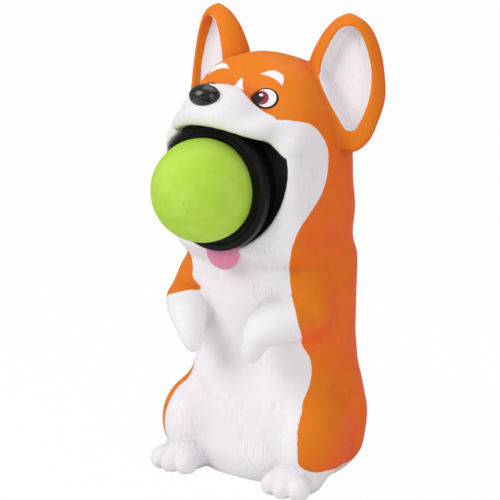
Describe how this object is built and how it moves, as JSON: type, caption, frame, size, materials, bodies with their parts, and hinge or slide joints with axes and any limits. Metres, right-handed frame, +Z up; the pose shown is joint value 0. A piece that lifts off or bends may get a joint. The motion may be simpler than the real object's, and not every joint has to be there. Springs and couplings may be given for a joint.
{
  "type": "dog ball popper",
  "caption": "Soft hollow begging dog figure that shoots a foam ball from a ring in its mouth when its sides are squeezed.",
  "frame": {"origin": "middle of the flat base that the figure stands on", "axes": "+Z up, -Y is the way the dog faces and the ball leaves, +X is the dog's left"},
  "size_m": [0.103, 0.1077, 0.2083],
  "materials": {
    "white_skin": "matte",
    "orange_skin": "matte",
    "nose_black": "gloss",
    "tongue_pink": "matte",
    "eye_print": "satin",
    "black_lining": "satin",
    "black_hard": "satin",
    "lip_rubber": "satin",
    "ball_foam": "matte"
  },
  "bodies": {
    "root": {"belly_skin": "white_skin", "back_skin": "orange_skin", "muzzle_skin": "white_skin", "crown_skin": "orange_skin", "left_ear": "orange_skin", "right_ear": "orange_skin", "left_ear_lining": "white_skin", "right_ear_lining": "white_skin", "left_arm": "white_skin", "right_arm": "white_skin", "left_foot": "white_skin", "right_foot": "white_skin", "nose": "nose_black", "tongue": "tongue_pink", "left_eye": "eye_print", "right_eye": "eye_print", "left_brow": "white_skin", "right_brow": "white_skin", "mouth_cup": "black_lining", "barrel": "black_hard", "muzzle_rim": "black_hard", "grip_lip": "lip_rubber", "ball_stop": "black_hard"},
    "left_flank": {"left_flank": "orange_skin"},
    "right_flank": {"right_flank": "orange_skin"},
    "ball": {"foam_ball": "ball_foam"}
  },
  "joints": [
    {"name": "ball_pop", "type": "slide", "parent": "root", "child": "ball", "axis": [0, -1, 0], "range_m": [-0.01, 0.032], "deforming": ["grip_lip"]},
    {"name": "left_squeeze", "type": "slide", "parent": "root", "child": "left_flank", "axis": [-1, 0, 0], "range_m": [0, 0.012], "stiffness_N_per_m": 800},
    {"name": "right_squeeze", "type": "slide", "parent": "root", "child": "right_flank", "axis": [1, 0, 0], "range_m": [0, 0.012], "stiffness_N_per_m": 800}
  ],
  "couplings": [
    {"joint": "right_squeeze", "follows": "left_squeeze", "ratio": 1}
  ]
}
